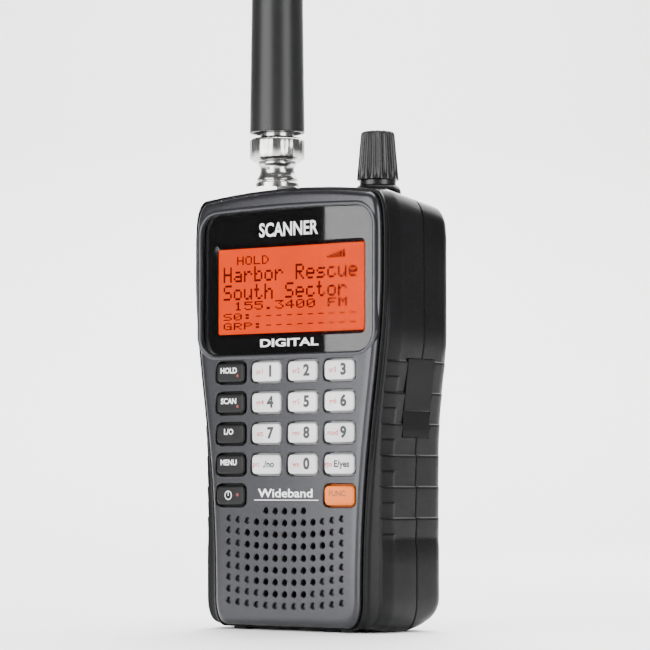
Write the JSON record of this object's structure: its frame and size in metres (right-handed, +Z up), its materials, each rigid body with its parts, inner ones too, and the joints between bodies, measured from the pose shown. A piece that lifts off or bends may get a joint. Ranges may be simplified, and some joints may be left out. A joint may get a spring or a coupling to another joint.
{
  "type": "police scanner",
  "caption": "Handheld police scanner: two-part waisted case with keypad, lit display, loudspeaker, cell bay, belt clip, bayonet aerial and push-and-turn dial.",
  "frame": {"origin": "middle of the foot of the whole object's box, in metres", "axes": "+X to the right seen from the front, the keypad faces -Y, +Z up along the aerial"},
  "size_m": [0.0666, 0.0388, 0.3011],
  "materials": {
    "shell_black": "moulded, finely grained",
    "panel_grey": "satin metallic grey paint",
    "lens_clear": "clear acrylic printed black round its window",
    "display_orange": "lit orange with dark characters",
    "light_guide": "milky acrylic",
    "inner_plastic": "plain moulded",
    "key_light": "smooth, printed dark and red",
    "key_dark": "smooth, printed white",
    "key_orange": "smooth, printed white",
    "rubber_black": "matt",
    "chrome": "polished nickel plate",
    "sheet_steel": "plain",
    "circuit_board": "solder mask",
    "speaker_cloth": "fine woven dust cloth",
    "cone_paper": "pressed paper",
    "ferrite": "sintered",
    "cell_wrap": "plain sleeve over steel"
  },
  "bodies": {
    "radio": {"front_case": "shell_black", "rear_case": "shell_black", "front_panel": "panel_grey", "display_lens": "lens_clear", "display_glass": "display_orange", "display_light": "light_guide", "display_frame": "inner_plastic", "keypad_mat": "rubber_black", "main_board": "circuit_board", "shield_can": "sheet_steel", "speaker_cloth": "speaker_cloth", "speaker_frame": "sheet_steel", "speaker_cone": "cone_paper", "speaker_magnet": "ferrite", "contact_lower": "sheet_steel", "contact_upper": "sheet_steel", "usb_socket": "sheet_steel", "phone_socket": "inner_plastic", "cell_1": "cell_wrap", "cell_2": "cell_wrap", "cell_3": "cell_wrap", "case_screw_1": "sheet_steel", "case_screw_2": "sheet_steel", "case_screw_3": "sheet_steel", "case_screw_4": "sheet_steel", "aerial_socket": "chrome", "aerial_nut": "chrome", "dial_collar": "shell_black", "encoder_body": "sheet_steel", "clip_bracket": "shell_black", "clip_pin": "sheet_steel", "clip_screw": "sheet_steel"},
    "key_hold": {"key_hold": "key_dark"},
    "key_scan": {"key_scan": "key_dark"},
    "key_lockout": {"key_lockout": "key_dark"},
    "key_menu": {"key_menu": "key_dark"},
    "key_power": {"key_power": "key_dark"},
    "key_1": {"key_1": "key_light"},
    "key_2": {"key_2": "key_light"},
    "key_3": {"key_3": "key_light"},
    "key_4": {"key_4": "key_light"},
    "key_5": {"key_5": "key_light"},
    "key_6": {"key_6": "key_light"},
    "key_7": {"key_7": "key_light"},
    "key_8": {"key_8": "key_light"},
    "key_9": {"key_9": "key_light"},
    "key_dot": {"key_dot": "key_light"},
    "key_0": {"key_0": "key_light"},
    "key_enter": {"key_enter": "key_light"},
    "key_function": {"key_function": "key_orange"},
    "bayonet_ring": {"aerial_ring": "chrome"},
    "aerial": {"aerial_plug": "chrome", "aerial_whip": "rubber_black"},
    "dial_rotor": {"encoder_rotor": "sheet_steel"},
    "dial": {"dial_knob": "rubber_black", "dial_shaft": "sheet_steel"},
    "port_flap": {"port_flap": "rubber_black"},
    "battery_door": {"battery_door": "shell_black"},
    "clip_lever": {"clip_lever": "shell_black"}
  },
  "joints": [
    {"name": "press_key_hold", "type": "slide", "parent": "radio", "child": "key_hold", "axis": [0, 1, 0], "range_m": [0, 0.0007], "stiffness_N_per_m": 2000},
    {"name": "press_key_scan", "type": "slide", "parent": "radio", "child": "key_scan", "axis": [0, 1, 0], "range_m": [0, 0.0007], "stiffness_N_per_m": 2000},
    {"name": "press_key_lockout", "type": "slide", "parent": "radio", "child": "key_lockout", "axis": [0, 1, 0], "range_m": [0, 0.0007], "stiffness_N_per_m": 2000},
    {"name": "press_key_menu", "type": "slide", "parent": "radio", "child": "key_menu", "axis": [0, 1, 0], "range_m": [0, 0.0007], "stiffness_N_per_m": 2000},
    {"name": "press_key_power", "type": "slide", "parent": "radio", "child": "key_power", "axis": [0, 1, 0], "range_m": [0, 0.0007], "stiffness_N_per_m": 2000},
    {"name": "press_key_1", "type": "slide", "parent": "radio", "child": "key_1", "axis": [0, 1, 0], "range_m": [0, 0.0007], "stiffness_N_per_m": 2000},
    {"name": "press_key_2", "type": "slide", "parent": "radio", "child": "key_2", "axis": [0, 1, 0], "range_m": [0, 0.0007], "stiffness_N_per_m": 2000},
    {"name": "press_key_3", "type": "slide", "parent": "radio", "child": "key_3", "axis": [0, 1, 0], "range_m": [0, 0.0007], "stiffness_N_per_m": 2000},
    {"name": "press_key_4", "type": "slide", "parent": "radio", "child": "key_4", "axis": [0, 1, 0], "range_m": [0, 0.0007], "stiffness_N_per_m": 2000},
    {"name": "press_key_5", "type": "slide", "parent": "radio", "child": "key_5", "axis": [0, 1, 0], "range_m": [0, 0.0007], "stiffness_N_per_m": 2000},
    {"name": "press_key_6", "type": "slide", "parent": "radio", "child": "key_6", "axis": [0, 1, 0], "range_m": [0, 0.0007], "stiffness_N_per_m": 2000},
    {"name": "press_key_7", "type": "slide", "parent": "radio", "child": "key_7", "axis": [0, 1, 0], "range_m": [0, 0.0007], "stiffness_N_per_m": 2000},
    {"name": "press_key_8", "type": "slide", "parent": "radio", "child": "key_8", "axis": [0, 1, 0], "range_m": [0, 0.0007], "stiffness_N_per_m": 2000},
    {"name": "press_key_9", "type": "slide", "parent": "radio", "child": "key_9", "axis": [0, 1, 0], "range_m": [0, 0.0007], "stiffness_N_per_m": 2000},
    {"name": "press_key_dot", "type": "slide", "parent": "radio", "child": "key_dot", "axis": [0, 1, 0], "range_m": [0, 0.0007], "stiffness_N_per_m": 2000},
    {"name": "press_key_0", "type": "slide", "parent": "radio", "child": "key_0", "axis": [0, 1, 0], "range_m": [0, 0.0007], "stiffness_N_per_m": 2000},
    {"name": "press_key_enter", "type": "slide", "parent": "radio", "child": "key_enter", "axis": [0, 1, 0], "range_m": [0, 0.0007], "stiffness_N_per_m": 2000},
    {"name": "press_key_function", "type": "slide", "parent": "radio", "child": "key_function", "axis": [0, 1, 0], "range_m": [0, 0.0007], "stiffness_N_per_m": 2000},
    {"name": "ring_lock", "type": "hinge", "parent": "radio", "child": "bayonet_ring", "pos_m": [-0.0173, -0.00068, 0.132], "axis": [0, 0, 1], "range_deg": [0, 90]},
    {"name": "aerial_swivel", "type": "hinge", "parent": "radio", "child": "aerial", "pos_m": [-0.0173, -0.00068, 0.135], "axis": [0, 0, 1], "continuous": true},
    {"name": "dial_turn", "type": "hinge", "parent": "radio", "child": "dial_rotor", "pos_m": [0.0176, -0.00068, 0.11], "axis": [0, 0, 1], "continuous": true},
    {"name": "dial_press", "type": "slide", "parent": "dial_rotor", "child": "dial", "axis": [0, 0, -1], "range_m": [0, 0.0006], "stiffness_N_per_m": 4000},
    {"name": "flap_open", "type": "hinge", "parent": "radio", "child": "port_flap", "pos_m": [0.031, -0.00147, 0.0516], "axis": [0, 1, 0], "range_deg": [0, 100]},
    {"name": "door_slide", "type": "slide", "parent": "radio", "child": "battery_door", "axis": [0, 0, -1], "range_m": [0, 0.055]},
    {"name": "clip_squeeze", "type": "hinge", "parent": "radio", "child": "clip_lever", "pos_m": [0, 0.01698, 0.096], "axis": [1, 0, 0], "range_deg": [0, 14], "stiffness_Nm_per_rad": 0.5, "springref_deg": -11.46}
  ]
}
